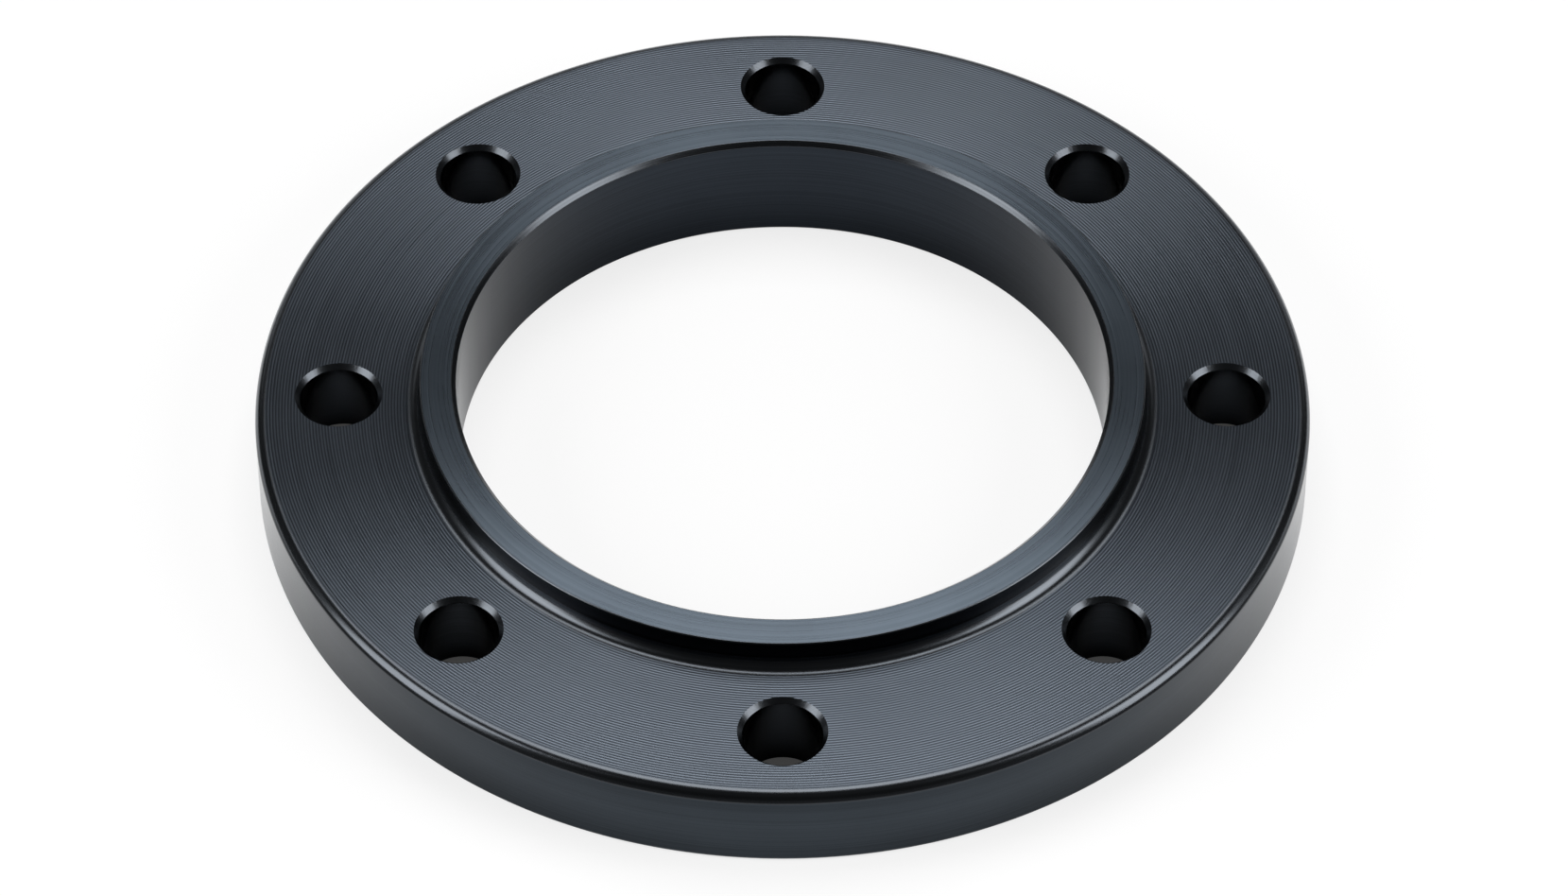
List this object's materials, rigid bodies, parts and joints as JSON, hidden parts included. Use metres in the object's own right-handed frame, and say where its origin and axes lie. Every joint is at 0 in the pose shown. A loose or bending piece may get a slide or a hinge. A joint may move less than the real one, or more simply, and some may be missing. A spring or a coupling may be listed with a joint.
{
  "type": "pipe flange",
  "caption": "Blackened steel pipe flange with a low hub, a wide bore, a ring of chamfered bolt holes, and a ring gasket groove in its sealing face.",
  "frame": {"origin": "centre of the bore in the plane of the sealing face, the flange's lowest plane", "axes": "+Z along the bore axis from the sealing face towards the hub, +X through one bolt hole"},
  "size_m": [0.285, 0.285, 0.0338],
  "materials": {
    "blackened_steel": "blackened, finely turned"
  },
  "bodies": {
    "root": {"flange": "blackened_steel"}
  },
  "joints": []
}
